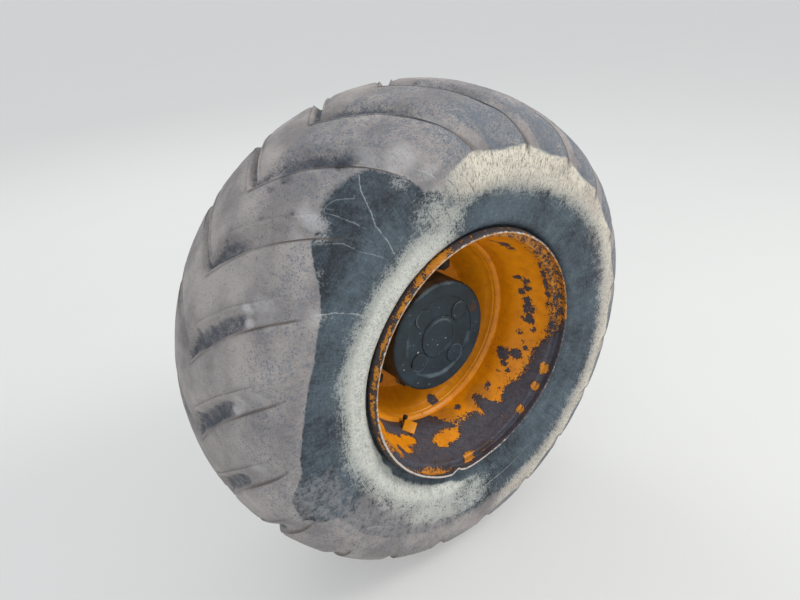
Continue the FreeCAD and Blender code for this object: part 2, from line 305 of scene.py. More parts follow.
TYRE_VALUES = ("dust", "chalk", "void_shade", "step_shade", "side", "cream", "slate", "outer", "off_crack", "crack")
BEAD_LINE = 380.0


def worn_tyre_rubber():
    """Vulcanised rubber under dried dust: matt pink-grey, blue-black where wiped, its blue a painted sky
    reflection, chalky where scuffed.
    """
    material, shader = finish("worn_tyre_rubber", IOR=1.52)
    dust, chalk, void_shade, step_shade, side, cream, slate, outer, off_crack, crack = [
        add(material, "Attribute", output="Fac", attribute_name=value) for value in TYRE_VALUES]
    here = add(material, "TexCoord", output="Object")
    radius, away = wheel_directions(material, here)
    cracks = fanned(material, away, radius, 3.0, 13)
    streaks = fanned(material, away, radius, 3.5, 40)
    streaks = add(material, "Math", {0: streaks, 1: side}, operation="MULTIPLY")
    cloud = add(material, "TexNoise", {"Vector": here, "Scale": per(110), "Detail": 6.0, "Roughness": 0.62})
    mottle = add(material, "TexNoise", {"Vector": here, "Scale": per(17), "Detail": 6.0, "Roughness": 0.74})
    grit = add(material, "TexNoise", {"Vector": here, "Scale": per(4), "Detail": 3.0, "Roughness": 0.8})

    # Rubber itself, bluish as a painted sky reflection where rubbed clean, cloudy, with faint rubbed streaks,
    # rings 9 mm apart and scratches
    rings = add(material, "Math", {0: radius, 1: 700.0}, operation="MULTIPLY")
    rings = add(material, "Math", {0: rings}, operation="SINE")
    rings = add(material, "Math", {0: rings, 1: side}, operation="MULTIPLY")
    rubbed = weighed(material, (cloud, 1.0), (mottle, 0.7), (streaks, 0.35), (grit, 0.6), (rings, 0.02))
    lines = add(material, "Math", {0: scratches(material, here, (0.3, 0.5, 0.9), 2.2, 90, -0.03),
                                   1: scratches(material, here, (1.2, -0.6, 2.2), 2.0, 60, -0.03)},
                operation="MAXIMUM")
    rubber = coated(material, colour("#161F28"), (rubbed, 1.05, 1.56, 1.0, "#5A6974"),
                    (lines, 0.0, 1.0, 0.4, "#93A0A6"))

    # Dried mud film, pink-grey in drifts, bluish in spots, with dark pores of 5 mm where it is rubbed thin; clay
    # spots the lugs of the sunny side, where the film is bluish, and painted shade darkens the floors and walls of
    # the voids
    blue = weighed(material, (slate, 0.35), (mottle, 0.8), (grit, 0.7))
    pits = add(material, "MapRange", {"Value": grit, "From Min": 0.50, "From Max": 0.62})
    pits = add(material, "Math", {0: pits, 1: slate}, operation="MULTIPLY")
    # Painted shade, mottled, on the floors and walls of the voids
    dark = add(material, "Math", {0: weighed(material, (mottle, 1.9), (grit, 1.1)), 1: void_shade}, operation="MULTIPLY")
    mud = coated(material, colour("#8A8483"), (cloud, 0.38, 0.62, 1.0, "#AEA6A2"), (blue, 0.84, 1.06, 0.8, "#68727D"),
                 (grit, 0.56, 0.68, 0.6, "#5C5A5C"), (pits, 0.0, 1.0, 0.5, "#4E565F"),
                 (cracks, 0.62, 0.70, 0.3, "#5F5D5E"), (dark, 0.85, 1.6, 0.88, "#434953"))
    cover = weighed(material, (dust, 1.0), (mottle, 0.9), (grit, 0.6))
    dusty = add(material, "MapRange", {"Value": cover, "From Min": 1.12, "From Max": 1.46},
                interpolation_type="SMOOTHSTEP")
    skin = add(material, "Mix", {"Factor": dusty, "A": rubber, "B": mud}, data_type="RGBA")

    # Chalky scuffs, creamy with short dark cracks on the sunny shoulder, where the cream is partly painted sunlight
    scuff = weighed(material, (chalk, 1.0), (streaks, 0.3), (cloud, 0.9), (mottle, 1.1), (grit, 1.9))
    scuffed = add(material, "MapRange", {"Value": scuff, "From Min": 2.46, "From Max": 3.02, "To Max": 0.96})
    short = add(material, "MapRange", {"Value": cracks, "From Min": 0.54, "From Max": 0.64})
    short = add(material, "Math", {0: short, 1: cream}, operation="MULTIPLY")
    chalky = coated(material, colour("#C4C0C4"), (side, 0.0, 1.0, 1.0, "#DEDFD6"))
    sandy = coated(material, colour("#EFE5D2"), (cloud, 0.44, 0.60, 0.8, "#C2B4A8"))
    pale = add(material, "Mix", {"Factor": cream, "A": chalky, "B": sandy}, data_type="RGBA")
    pale = coated(material, pale, (mottle, 0.47, 0.60, 0.5, "#A3A49E"), (grit, 0.52, 0.66, 0.68, "#6F7473"),
                  (cracks, 0.54, 0.68, 0.32, "#858A85"), (short, 0.0, 1.0, 0.75, "#77715F"))
    skin = add(material, "Mix", {"Factor": scuffed, "A": skin, "B": pale}, data_type="RGBA")

    # Moulded line round the bead, worn through in places, and painted shade at the foot of each lug's step
    line = add(material, "Math", {0: radius, 1: BEAD_LINE * MM}, operation="SUBTRACT")
    line = add(material, "Math", {0: line}, operation="ABSOLUTE")
    line = add(material, "MapRange", {"Value": line, "From Min": 0.0016, "From Max": 0.0004})
    whole = add(material, "MapRange", {"Value": mottle, "From Min": 0.36, "From Max": 0.5, "To Max": 0.55})
    line = add(material, "Math", {0: line, 1: whole}, operation="MULTIPLY")
    line = add(material, "Math", {0: line, 1: outer}, operation="MULTIPLY")
    # Painted shade at the foot of the lugs: brown where the cream value is low, blue-black where it is high
    foot = coated(material, colour("#5B4F48"), (cream, 0.0, 1.0, 1.0, "#2B3137"))
    skin = coated(material, skin, (line, 0.0, 1.0, 1.0, "#C2C4BB"))
    skin = add(material, "Mix", {"Factor": step_shade, "A": skin, "B": foot}, data_type="RGBA")

    # Long cracks, pale with chalk or open and dark; the piece carries how far off each line a point is
    off = weighed(material, (off_crack, 1.0), (mottle, 7.0), (grit, 3.0))
    off = add(material, "Math", {0: off, 1: 5.0}, operation="SUBTRACT")
    off = add(material, "Math", {0: off}, operation="ABSOLUTE")
    split = add(material, "MapRange", {"Value": off, "From Min": 1.5, "From Max": 0.3})
    whole = add(material, "MapRange", {"Value": mottle, "From Min": 0.38, "From Max": 0.54})
    split = add(material, "Math", {0: split, 1: whole}, operation="MULTIPLY")
    split = add(material, "Math", {0: split, 1: crack}, operation="MULTIPLY")
    skin = coated(material, skin, (split, 0.0, 1.0, 1.0, "#BAC1C2"), (split, 0.0, -1.0, 1.0, "#23282C"))
    link(material, skin, shader, "Base Color")
    rough = add(material, "MapRange", {"Value": dusty, "To Min": 0.62, "To Max": 0.95})
    link(material, rough, shader, "Roughness")

    dip = add(material, "Math", {0: split}, operation="ABSOLUTE")
    worn_cracks = add(material, "Math", {0: cracks, 1: side}, operation="MULTIPLY")
    relief = weighed(material, (worn_cracks, 0.7), (mottle, 1.0), (grit, 0.5), (dip, -0.4), (line, -0.8))
    bump = add(material, "Bump", {"Strength": 0.8, "Distance": 0.0025, "Height": relief})
    link(material, bump, shader, "Normal")
    return material


PAINT_VALUES = ("bare", "grime", "rubbed")


def chipped_paint(name, paint, shade):
    """Sprayed enamel, glossy and warm, flaked to dull primer where the piece's bare value says so."""
    material, shader = finish(name, IOR=1.5)
    bare, grime, rubbed = [
        add(material, "Attribute", output="Fac", attribute_name=value) for value in PAINT_VALUES]
    here = add(material, "TexCoord", output="Object")
    broad = add(material, "TexNoise", {"Vector": here, "Scale": per(24), "Detail": 5.0, "Roughness": 0.65})
    ragged = add(material, "TexNoise", {"Vector": here, "Scale": per(8), "Detail": 4.0, "Roughness": 0.65})
    specks = add(material, "TexNoise", {"Vector": here, "Scale": per(3), "Detail": 1.0, "Roughness": 0.5})
    flaking = weighed(material, (bare, 1.0), (broad, 2.0), (ragged, 3.4), (specks, 1.6))
    flaked = add(material, "MapRange", {"Value": flaking, "From Min": 4.36, "From Max": 4.46},
                 interpolation_type="SMOOTHSTEP")
    # Dust dulls the enamel in drifts, and dirt clings to it near the lip
    dirt = add(material, "MapRange", {"Value": grime, "From Max": 0.5})
    dirt = add(material, "Math", {0: dirt, 1: ragged}, operation="MULTIPLY")
    lit = coated(material, colour(paint), (broad, 0.35, 0.7, 1.0, shade), (dirt, 0.0, 1.0, 0.75, "#6D5233"))
    # Primer, rusting in spots, brown where water stands and at the torn edges of the coat
    primer = coated(material, colour("#5C5F6D"), (broad, 0.35, 0.7, 1.0, "#393C48"),
                    (ragged, 0.55, 0.75, 0.55, "#5A3A2C"), (grime, 0.5, 1.0, 0.7, "#46362F"),
                    (flaking, 5.6, 4.44, 0.85, "#33241F"))
    skin = add(material, "Mix", {"Factor": flaked, "A": lit, "B": primer}, data_type="RGBA")
    # Edges rubbed to bright steel
    edge = weighed(material, (ragged, 1.2), (rubbed, 1.0))
    skin = coated(material, skin, (edge, 1.15, 1.35, 1.0, "#CBBFB4"))
    link(material, skin, shader, "Base Color")
    rough = add(material, "MapRange", {"Value": flaked, "To Min": 0.40, "To Max": 0.68})
    link(material, rough, shader, "Roughness")
    # The coat stands about 0.3 mm above the primer
    coat = weighed(material, (flaked, -1.0), (ragged, 0.3))
    bump = add(material, "Bump", {"Strength": 0.7, "Distance": 0.0007, "Height": coat})
    link(material, bump, shader, "Normal")
    return material


def hub_enamel():
    """Brushed-on machine enamel over cast iron: satin blue-black, dulled by dust, with pale flecks and painted
    highlights.
    """
    material, shader = finish("hub_enamel", IOR=1.5, Specular_IOR_Level=0.4)
    worn, fleck = [add(material, "Attribute", output="Fac", attribute_name=value) for value in ("worn", "fleck")]
    here = add(material, "TexCoord", output="Object")
    cloud = add(material, "TexNoise", {"Vector": here, "Scale": per(40), "Detail": 5.0, "Roughness": 0.65})
    grain = add(material, "TexNoise", {"Vector": here, "Scale": per(3), "Detail": 3.0})
    # Pale edges where the worn value says so: painted highlights on the cover's rims and bosses, with some rubbing
    edges = weighed(material, (worn, 1.0), (cloud, 1.6), (grain, 0.6))
    # Splashes where the piece says so, and small dots in some drifts
    splash = weighed(material, (grain, 0.8), (fleck, 1.0))
    dots = add(material, "TexVoronoi", {"Vector": here, "Scale": per(11)})
    dots = add(material, "MapRange", {"Value": dots, "From Min": 0.13, "From Max": 0.07})
    drift = add(material, "MapRange", {"Value": cloud, "From Min": 0.50, "From Max": 0.56})
    dots = add(material, "Math", {0: dots, 1: drift}, operation="MULTIPLY")
    skin = coated(material, colour("#101C24"), (cloud, 0.3, 0.7, 1.0, "#263A45"), (edges, 1.5, 2.0, 0.75, "#5F7078"),
                  (dots, 0.0, 1.0, 0.55, "#C6C9C6"), (splash, 0.85, 1.05, 1.0, "#C6C9C6"))
    link(material, skin, shader, "Base Color")
    rough = add(material, "MapRange", {"Value": cloud, "To Min": 0.30, "To Max": 0.60})
    link(material, rough, shader, "Roughness")
    bump = add(material, "Bump", {"Strength": 0.4, "Distance": 0.0008, "Height": grain})
    link(material, bump, shader, "Normal")
    return material


def plain_metal(name, pale, dark, grain_size, metallic, low_rough, high_rough, depth_of_grain=0.0004):
    """Metal or moulded part: two tones in patches, with grain of its own size in its gloss and relief."""
    material, shader = finish(name, Metallic=metallic)
    here = add(material, "TexCoord", output="Object")
    cloud = add(material, "TexNoise", {"Vector": here, "Scale": per(8 * grain_size), "Detail": 5.0,
                                       "Roughness": 0.65})
    grain = add(material, "TexNoise", {"Vector": here, "Scale": per(grain_size), "Detail": 3.0})
    link(material, coated(material, colour(pale), (cloud, 0.0, 1.0, 1.0, dark)), shader, "Base Color")
    rough = add(material, "MapRange", {"Value": grain, "From Min": 0.3, "From Max": 0.7, "To Min": low_rough,
                                       "To Max": high_rough})
    link(material, rough, shader, "Roughness")
    bump = add(material, "Bump", {"Strength": 0.5, "Distance": depth_of_grain, "Height": grain})
    link(material, bump, shader, "Normal")
    return material


# ---- tyre

MID_DEPTH = 231.6
PITCHES = 20
PITCH = 360 / PITCHES
# Void between two lugs, by arc length across the tread: angles of its two edges, depth, share that is ramp
VOID = (
    (-330.0, 137.5, 144.0, 0.0, 0.8),
    (-302.0, 137.5, 144.0, 2.5, 0.8),
    (-228.0, 143.2, 148.8, 6.0, 0.8),
    (-187.0, 145.6, 151.3, 9.0, 0.75),
    (-140.0, 148.5, 154.4, 12.0, 0.6),
    (-112.0, 150.2, 156.3, 16.0, 0.45),
    (-93.5, 151.3, 157.6, 16.0, 0.4),
    (-4.0, 157.6, 165.6, 16.0, 0.4),
    (13.0, 163.2, 166.9, 13.0, 0.45),
    (93.5, 157.4, 160.8, 16.0, 0.45),
    (187.0, 150.8, 155.8, 19.0, 0.5),
    (228.0, 147.8, 153.6, 15.0, 0.7),
    (302.0, 143.0, 149.5, 4.0, 0.8),
    (330.0, 143.0, 149.5, 0.0, 0.8),
)
# Where the columns of the mesh stand, from a void's low edge to its high edge, and on over the lug
IN_VOID = (0.0, 0.07, 0.15, 0.25, 0.36, 0.48, 0.60, 0.72, 0.82, 0.89, 0.94, 0.975)
ON_LUG = (0.0, 0.012, 0.035, 0.08, 0.14, 0.20, 0.26, 0.32, 0.38, 0.44, 0.50, 0.56, 0.62, 0.69, 0.77,
          0.86, 0.94, 0.985)
COLUMNS = len(IN_VOID) + len(ON_LUG)

# Whitish scuffs of the outer side and tread: angle, arc length across, half sizes in mm, strength
CHALK = (
    (109, -214, 40, 40, 0.85), (113, -160, 22, 40, 0.6), (112, -245, 30, 25, 0.6), (106, -267, 35, 18, 0.7),
    (108, -335, 60, 60, 0.55), (104, -389, 60, 45, 0.7), (96, -340, 45, 55, 0.6), (115, -400, 45, 30, 0.5),
    (129.8, -170, 20, 42, 1.0), (131.8, -205, 15, 22, 0.7), (134, -158, 14, 24, 0.7), (128, -140, 18, 20, 0.5),
    (148, -165, 24, 38, 0.8), (150.0, -133, 13, 15, 1.15), (152.6, -141, 12, 14, 1.1), (146, -250, 18, 40, 0.5), (150.5, -178, 18, 34, 0.6),
    (169, -148, 26, 20, 0.85), (166, -190, 14, 34, 0.6), (171, -136, 12, 18, 1.0), (183, -180, 22, 36, 0.65),
    (155, -250, 40, 30, 0.35), (162, -240, 30, 30, 0.35), (139, -240, 30, 24, 0.5), (147, -262, 24, 18, 0.6),
)
# Rubbed blue-black spots on the tread
CLEAN = (
    (119.5, -100, 22, 36, 0.42), (125.5, -66, 16, 26, 0.42), (117.5, -138, 20, 26, 0.5), (128.5, -50, 10, 16, 0.4),
    (131, -128, 14, 20, 0.42), (134, -70, 12, 18, 0.35), (152, -110, 16, 18, 0.3),
)
# How far up the tread the dust is wiped off on the outer side, by angle
WIPED_TO = ((100, -330), (108, -300), (112, -235), (116, -190), (121, -172), (126, -172), (133.7, -197),
            (136.7, -220), (141.4, -255), (145.3, -273), (149.7, -280), (155.8, -291), (163, -290), (172, -285),
            (185, -268), (192, -230), (200, -225), (205, -290), (225, -300), (250, -325))
# Arc length from which the foot of the outer side, off the rim, is bare and dark with painted lip shadow, by angle
LIP_SHADOW_FOOT = ((200, -458), (212, -448), (226, -435), (248, -433), (257, -425), (264, -423), (272, -416), (290, -422),
        (312, -446), (322, -458))
# Long cracks of the outer side: strength, above 0 pale and below 0 dark, and angles with arc lengths
CRACKS = (
    (0.6, ((118.0, -191), (119.8, -209), (121.8, -250), (123.2, -273), (123.4, -317), (124.1, -344), (123.7, -371))),
    (0.65, ((145.5, -273), (144.1, -297), (142.9, -335), (142.2, -380))),
    (0.3, ((126.6, -178), (124.4, -185), (122.3, -208))),
    (0.35, ((127.2, -191), (126.2, -226), (125.4, -252))),
    (0.3, ((133.7, -202), (130.5, -244), (129.4, -285), (126.8, -335))),
    (-0.9, ((86.7, -279), (85.6, -297))),
    (-0.8, ((74.7, -297), (73.5, -279))),
    (-0.7, ((95.5, -317), (92.2, -362))),
    (0.9, ((107.3, -255), (106.1, -267), (105.1, -279))),
    (-0.8, ((111.4, -302), (110.0, -335), (108.0, -380))),
    (-0.6, ((101.5, -300), (99.0, -330), (98.5, -350))),
    (-0.6, ((104.5, -350), (102.5, -385))),
    (-0.6, ((62.0, -290), (61.0, -305))),
    (-0.6, ((206.0, -330), (202.0, -350), (200.0, -380))),
    (0.5, ((215.0, -300), (220.0, -320), (226.0, -330))),
)


def drawn_on(bm, vertex, centre, sweep, steps):
    """Draws the section on from a vertex, on an arc about a centre given as radius and depth."""
    arc = bmesh.ops.spin(bm, geom=[vertex], cent=(centre[0] * MM, at(centre[1]), 0), axis=(0, 0, 1),
                         angle=math.radians(sweep), steps=steps)
    return next(g for g in arc["geom_last"] if isinstance(g, bmesh.types.BMVert))


def void_reading(column, across):
    """Angle of a column of the mesh, how far down the void it is, the void's depth, how near an edge of
    the lug, and how near the step up to it, as a thin line and as a band of painted shade."""
    low, high, floor, ramp = along_rows(VOID, across)
    step = column % COLUMNS
    base = (column // COLUMNS) * PITCH
    if step < len(IN_VOID):
        part = IN_VOID[step]
        down = ease(part, 0.0, ramp) * ease(part, 1.0, 0.86 - 0.2 * ease(across, -60, 0))
        return base + low + part * (high - low), down, floor, 0.0, (ease(part, 0.88, 0.96), ease(part, 0.62, 0.86))
    part = ON_LUG[step - len(IN_VOID)]
    edge = max(ease(part, 0.10, 0.0), ease(part, 0.84, 1.0))
    return base + high + part * (low + PITCH - high), 0.0, floor, edge, (ease(part, 0.02, 0.0), ease(part, 0.05, 0.0))


def crack_reading(angle, across, radius):
    """How far a place is beside the nearest long crack, in mm, and that crack's strength there."""
    best, found = 16.0, (0.0, 0.0)
    for strength, points in CRACKS:
        if abs(angle_between(angle, points[0][0])) > 18 or not -410 < across < -160:
            continue
        flat = [Vector((math.radians(angle_between(a, angle)) * radius, reach - across)) for a, reach in points]
        for start, end in zip(flat, flat[1:]):
            run = end - start
            part = min(1.0, max(0.0, -start.dot(run) / run.length_squared))
            gap = (start + run * part).length
            if gap < best:
                best = gap
                found = (run.normalized().cross(-start), strength * ease(gap, 14, 7))
    return found


def tyre_zones(angle, across, radius, down, on_lug):
    """Values of the tyre's skin by name: dust, chalk, the voids' painted shade, cream and slate."""
    reach = abs(across)
    if across > 0:
        return {"dust": 0.55 * ease(reach, 350, 280) + 0.45, "void_shade": down,
                "chalk": 0.3 * ease(reach, 300, 350) * ease(reach, 450, 400), "cream": 0.3,
                "slate": 0.3 * ease(reach, 150, 220)}
    left = ease(abs(angle_between(angle, 178)), 92, 72)
    right = ease(abs(angle_between(angle, 8)), 104, 84)
    under = ease(abs(angle_between(angle, 232)), 40, 22)
    dust = 0.55 * ease(reach, 345, 285) + 0.45 - patches(CLEAN, angle, across, radius)
    wiped = along_rows(WIPED_TO, angle)[0] if 100 < angle < 250 else -345
    strength = ease(angle, 100, 112) * (1 - 0.58 * ease(angle, 180, 196))
    soft = 5 + 32 * ease(angle, 136, 122)
    dust -= strength * ease(across, wiped + soft, wiped - soft) * ease(across, -430, -370)
    mottled = ease(angle, 180, 190) * ease(angle, 234, 222) * ease(across, wiped + 8, wiped - 8)
    dust += (0.5 - dust) * mottled * ease(across, -360, -338)
    # The sunny side's inner sidewall is dark navy, here and in the slate value below: clean rubber, and painted shade
    dust -= (0.3 + 0.45 * ease(angle_between(angle, 30), -10, 25)) * right * ease(reach, 350, 380)
    dust = max(dust, 0.60 * under * ease(reach, 430, 380))
    ring = ease(angle, 98, 124) * ease(angle, 290, 266)
    chalk = 0.66 * left * ease(reach, 318, 392) + (0.55 + 0.1 * under) * ring * ease(reach, 378, 425)
    chalk = max(chalk, patches(CHALK, angle, across, radius))
    # Pale cream band round the sunny shoulder: dust, brightened as painted sunlight
    turn = (angle - 2.0) % PITCH / PITCH
    start = 264 + 12 * math.sin(math.pi * turn) + 14 * ease(angle_between(angle, 92), 0, 14)
    band = right * ease(reach, start, start + 7)
    haze = ease(angle_between(angle, 70), 0, -50)
    band *= ease(reach, 398 - 18 * haze, 328 - 58 * haze)
    # Void ramps of the sunny side, pale with dust and painted sunlight
    pale_sunlit_ramp = right * down * ease(reach, 100, 190) * (1 - ease(reach, 235, 262))
    low_side = ease(abs(angle_between(angle, -108)), 34, 14) * ease(reach, 318, 352) * ease(reach, 428, 398)
    chalk = max(chalk, 1.1 * band, 0.8 * pale_sunlit_ramp, 0.66 * low_side)
    # Painted shadow of the lip at the foot, low on the wheel, over bare dark rubber
    limit = along_rows(LIP_SHADOW_FOOT, angle)[0]
    foot = ease(across, limit + 4, limit - 2)
    chalk, dust = chalk * (1 - foot), dust - 1.2 * foot
    # Painted shade in the voids: darkest in the pockets towards the crown, less about 132 degrees, and on the crown's
    # walls
    pocket = 152 - 30 * ease(angle, 136, 146) if 100 < angle < 260 else 190
    void_shade = down * (1 - 0.8 * pale_sunlit_ramp) * ease(reach, pocket + 30, pocket)
    void_shade *= 1 - 0.42 * ease(abs(angle_between(angle, 132)), 10, 6)
    void_shade = max(void_shade, 1.3 * (1 - abs(2 * down - 1)) * ease(abs(across - 4), 20, 12))
    return {"dust": dust, "chalk": chalk, "void_shade": void_shade,
            "cream": 0.1 + 0.9 * max(band, 0.5 * pale_sunlit_ramp, 0.9 * right * ease(reach, 235, 180)),
            "slate": max(0.8 * right * on_lug * ease(reach, 60, 190) * ease(reach, 290, 282),
                         0.32 * left * ease(reach, 120, 190), 0.7 * right * ease(reach, 340, 370),
                         0.45 * ease(abs(angle_between(angle, 95)), 45, 25) * ease(reach, 240, 200))}


def tyre():
    bm = bmesh.new()
    row = bm.verts.layers.int.new("row")
    vertex = bm.verts.new((310.0 * MM, at(28.7), 0))
    for centre, sweep, steps in (((446, 252.4), 31.3, 16), ((446, 100.6), 64.2, 21), ((175, 231.6), 51.6, 54),
                                 ((446, 362.6), 64.2, 20), ((446, 210.8), 31.3, 12)):
        vertex = drawn_on(bm, vertex, centre, sweep, steps)
    outer = bm.verts[:]
    lengths = [0.0]
    for last, here in zip(outer, outer[1:]):
        lengths.append(lengths[-1] + (here.co - last.co).length / MM)
    middle = lengths[-1] / 2
    rows = [None]
    for index, vert in enumerate(outer):
        near = outer[max(0, index - 1)].co
        far = outer[min(len(outer) - 1, index + 1)].co
        rows.append((lengths[index] - middle, (far - near).cross(Vector((0, 0, 1))).normalized()))
        vert[row] = index + 1
    back = 2 * MID_DEPTH
    bead = [(306.5, 30.2), (287.0, 30.0), (278.6, 58.4), (300, 40), (350, 15), (446, 5.6), (505, 26),
            (540, 90), (555, 170), (555, back - 170), (540, back - 90), (505, back - 26),
            (446, back - 5.6), (350, back - 15), (300, back - 40), (278.6, back - 58.4), (287.0, back - 30.0),
            (306.5, back - 30.2)]
    loop = [outer[0]] + [bm.verts.new((radius * MM, at(depth), 0)) for radius, depth in bead] + [outer[-1]]
    for last, here in zip(loop, loop[1:]):
        bm.edges.new((last, here))
    spun(bm, PITCHES * COLUMNS, PITCHES)

    layers = {value: bm.verts.layers.float.new(value) for value in TYRE_VALUES}
    for vert in bm.verts:
        radius = math.hypot(vert.co.x, vert.co.z)
        column = round(wheel_place(vert.co)[1] / PITCH * COLUMNS) % (PITCHES * COLUMNS)
        if vert[row]:
            across, normal = rows[vert[row]]
            angle, down, floor, edge, step_shade = void_reading(column, across)
            angle %= 360
            spot = place(radius / MM, angle, vert.co.y / MM + MOUNT_DEPTH)
            wear = 0.9 * (1 + noise.noise(spot / (55 * MM))) + 0.5 * (1 + noise.noise(spot / (14 * MM)))
            lug_end = 2.5 * ease(abs(across), 268, 282) * ease(abs(across), 360, 300)
            rounding = 4.0 - 2.0 * ease(abs(across), 120, 220)
            sink = floor * down + rounding * edge * ease(floor, 0, 12) + wear + lug_end * (1 - down)
            if abs(across) > 400:
                sink *= 0.5
            for name, value in tyre_zones(angle, across, radius / MM, down * ease(floor, 3, 12),
                                          1 - ease(down, 0.0, 0.3)).items():
                vert[layers[name]] = value
            vert[layers["off_crack"]], vert[layers["crack"]] = crack_reading(angle, across, radius / MM)
            sunny = ease(abs(angle_between(angle, 10)), 98, 74) * ease(-across, 0, 1)
            # Painted shade at the foot of each lug's step, widened on the sunny side where the slot lies in shadow
            vert[layers["step_shade"]] = (max(0.75 * step_shade[0], 0.8 * step_shade[1] * sunny)
                                    * ease(abs(across), 100, 170)
                                    * ease(abs(across), 252 + 44 * sunny, 226 + 44 * sunny))
            vert[layers["side"]] = ease(abs(across), 240, 300)
            # The bead is thick where it meets the rim's flange, and has drawn off it at the foot
            close = 10.0 - 15.0 * ease(abs(angle_between(angle, 242)), 52, 24)
            close += 3.5 * ease(abs(angle_between(angle, 75)), 95, 60)
            sink -= close * ease(-across, 400, 440) * (1 - 0.4 * ease(-across, 446, 451))
            vert[layers["outer"]] = ease(-across, 340, 350) * (1 - 0.9 * sunny)
            radius -= sink * MM * normal.x
            depth = vert.co.y - sink * MM * normal.y
        else:
            depth = vert.co.y
            part = (depth / MM + MOUNT_DEPTH) / (2 * MID_DEPTH)
            angle = 137.5 + 5.5 * part + column * PITCH / COLUMNS
            vert[layers["dust"]] = 0.1
        turn = math.radians(angle)
        vert.co = (radius * math.cos(turn), depth, radius * math.sin(turn))
    bm.verts.layers.int.remove(row)
    bmesh.ops.recalc_face_normals(bm, faces=bm.faces)
    return pieced("tyre_casing", bm, worn_tyre_rubber(), "wheel", "tyre_rubber", "tyre", sharp=50.0)


# ---- rim, disc and weld

BARREL = (
    (298.5, 0.0, 3.0), (303.5, 20.4, 7.0), (299.5, 28.4, 2.0), (286.0, 28.4, 5.0), (276.1, 64.4, 8.0),
    (249.5, 136.0, 12.0), (249.5, 327.2, 12.0), (276.1, 398.8, 8.0), (286.0, 434.8, 5.0),
    (299.5, 434.8, 2.0), (303.5, 442.8, 7.0), (298.5, 463.2, 3.0), (292.0, 463.2, 3.0),
    (297.0, 445.0, 6.0), (293.0, 441.3, 2.0), (279.5, 440.0, 5.0), (269.6, 398.8, 8.0),
    (243.0, 327.2, 12.0), (243.0, 136.0, 12.0), (269.6, 64.4, 8.0), (279.5, 23.2, 5.0),
    (293.0, 21.9, 2.0), (297.0, 18.2, 6.0), (292.0, 0.0, 3.0),
)
# Dent of the lip: angle and how far the lip stands out (mm)
DENT = ((214, 0.0), (232, 1.0), (243, 2.0), (250, 1.5), (252, -5.0), (253.5, -13.0), (256, -6.0), (259, -3.0),
        (264, -4.0), (275, -9.0), (290, -9.0), (310, -5.0), (332, 0.0))
# Depth to which the inside is bare of paint, by angle
BARE_TO = ((0, -10), (206, -10), (212, 40), (217, 150), (226, 200), (240, 200), (252, 188), (265, 174), (269, 134),
           (272, 114), (278, 116), (287, 103), (290, 82), (293, 130), (297, 132), (299, 92), (302, 70), (306, 86),
           (313, 82), (320, 63), (325, 66), (335, 57), (340, 50), (348, 22), (355, 12), (360, -10))
# Bare places gone brown
RUSTY = (
    (241, 178, 90, 40, 1.0), (268, 150, 44, 36, 0.9), (296, 126, 34, 26, 0.9), (248, 30, 60, 12, 0.8),
    (276, 24, 34, 13, 1.0), (213, 40, 20, 20, 0.7),
)
# Flakes off the paint (angle, depth, half sizes in mm, strength) and islands of paint left on bare places
FLAKES = (
    (51.5, 88, 18, 11, 0.95), (57, 98, 18, 5, 0.75), (46, 82, 8, 12, 0.7), (17.6, 95, 18, 12, 0.85),
    (20, 112, 10, 9, 0.85), (9.5, 108, 13, 9, 0.9), (12, 90, 8, 14, 0.75), (358, 92, 22, 15, 1.0),
    (4, 95, 12, 13, 0.95), (352, 88, 12, 16, 0.95), (31, 39, 14, 5, 0.85), (24, 40, 20, 6, 1.0),
    (16, 41, 22, 7, 1.0), (10, 42, 12, 6, 0.9), (9, 22, 12, 10, 0.85), (0, 18, 14, 8, 0.8),
    (347, 74, 8, 9, 0.9), (343, 104, 8, 9, 0.8), (352, 104, 6, 7, 0.8), (338, 92, 6, 6, 0.7),
    (327, 130, 18, 24, 1.0), (330, 98, 14, 18, 1.0), (322, 118, 10, 12, 0.8), (335, 80, 7, 9, 0.8),
    (305, 124, 12, 9, 0.95), (316.5, 122, 6, 6, 0.75), (282.5, 145, 9, 10, 0.95), (319, 100, 9, 7, 0.8),
    (229, 182, 7, 6, 0.7), (230, 150, 11, 12, 0.95), (84, 18, 60, 4, 0.5), (55, 18, 60, 6, 0.45),
    (352, 30, 20, 8, 0.8), (344, 36, 16, 8, 0.75), (66, 24, 24, 4, 0.55), (43, 22, 18, 9, 0.6),
    (31, 10, 30, 8, 0.5), (20, 12, 16, 6, 0.6),
)
ISLANDS = (
    (328.5, 22, 13, 9, 1.5), (318.5, 24, 12, 8, 1.5), (304.3, 24, 10, 7, 1.4), (263, 93, 40, 18, 2.0),
    (258, 80, 22, 10, 1.6), (265, 25, 18, 9, 1.5), (224, 90, 46, 15, 2.1), (216, 56, 20, 26, 2.0),
    (235, 103, 26, 13, 2.0), (229, 70, 22, 10, 1.8), (240, 17, 60, 6, 1.5),
)
# Paint left on the band outside the lip
BAND_ISLANDS = (
    (115, 8, 26, 9, 1.2), (110, 9, 26, 9, 1.2), (122, 10, 20, 8, 1.1), (134, 6, 30, 5, 0.9),
    (148, 7, 40, 5, 0.9), (164, 8, 30, 5, 0.9), (177, 9, 34, 6, 0.8), (196, 8, 26, 5, 0.8),
)


def rim_paint():
    return chipped_paint("chipped_orange_enamel", "#F29A08", "#DB8404")


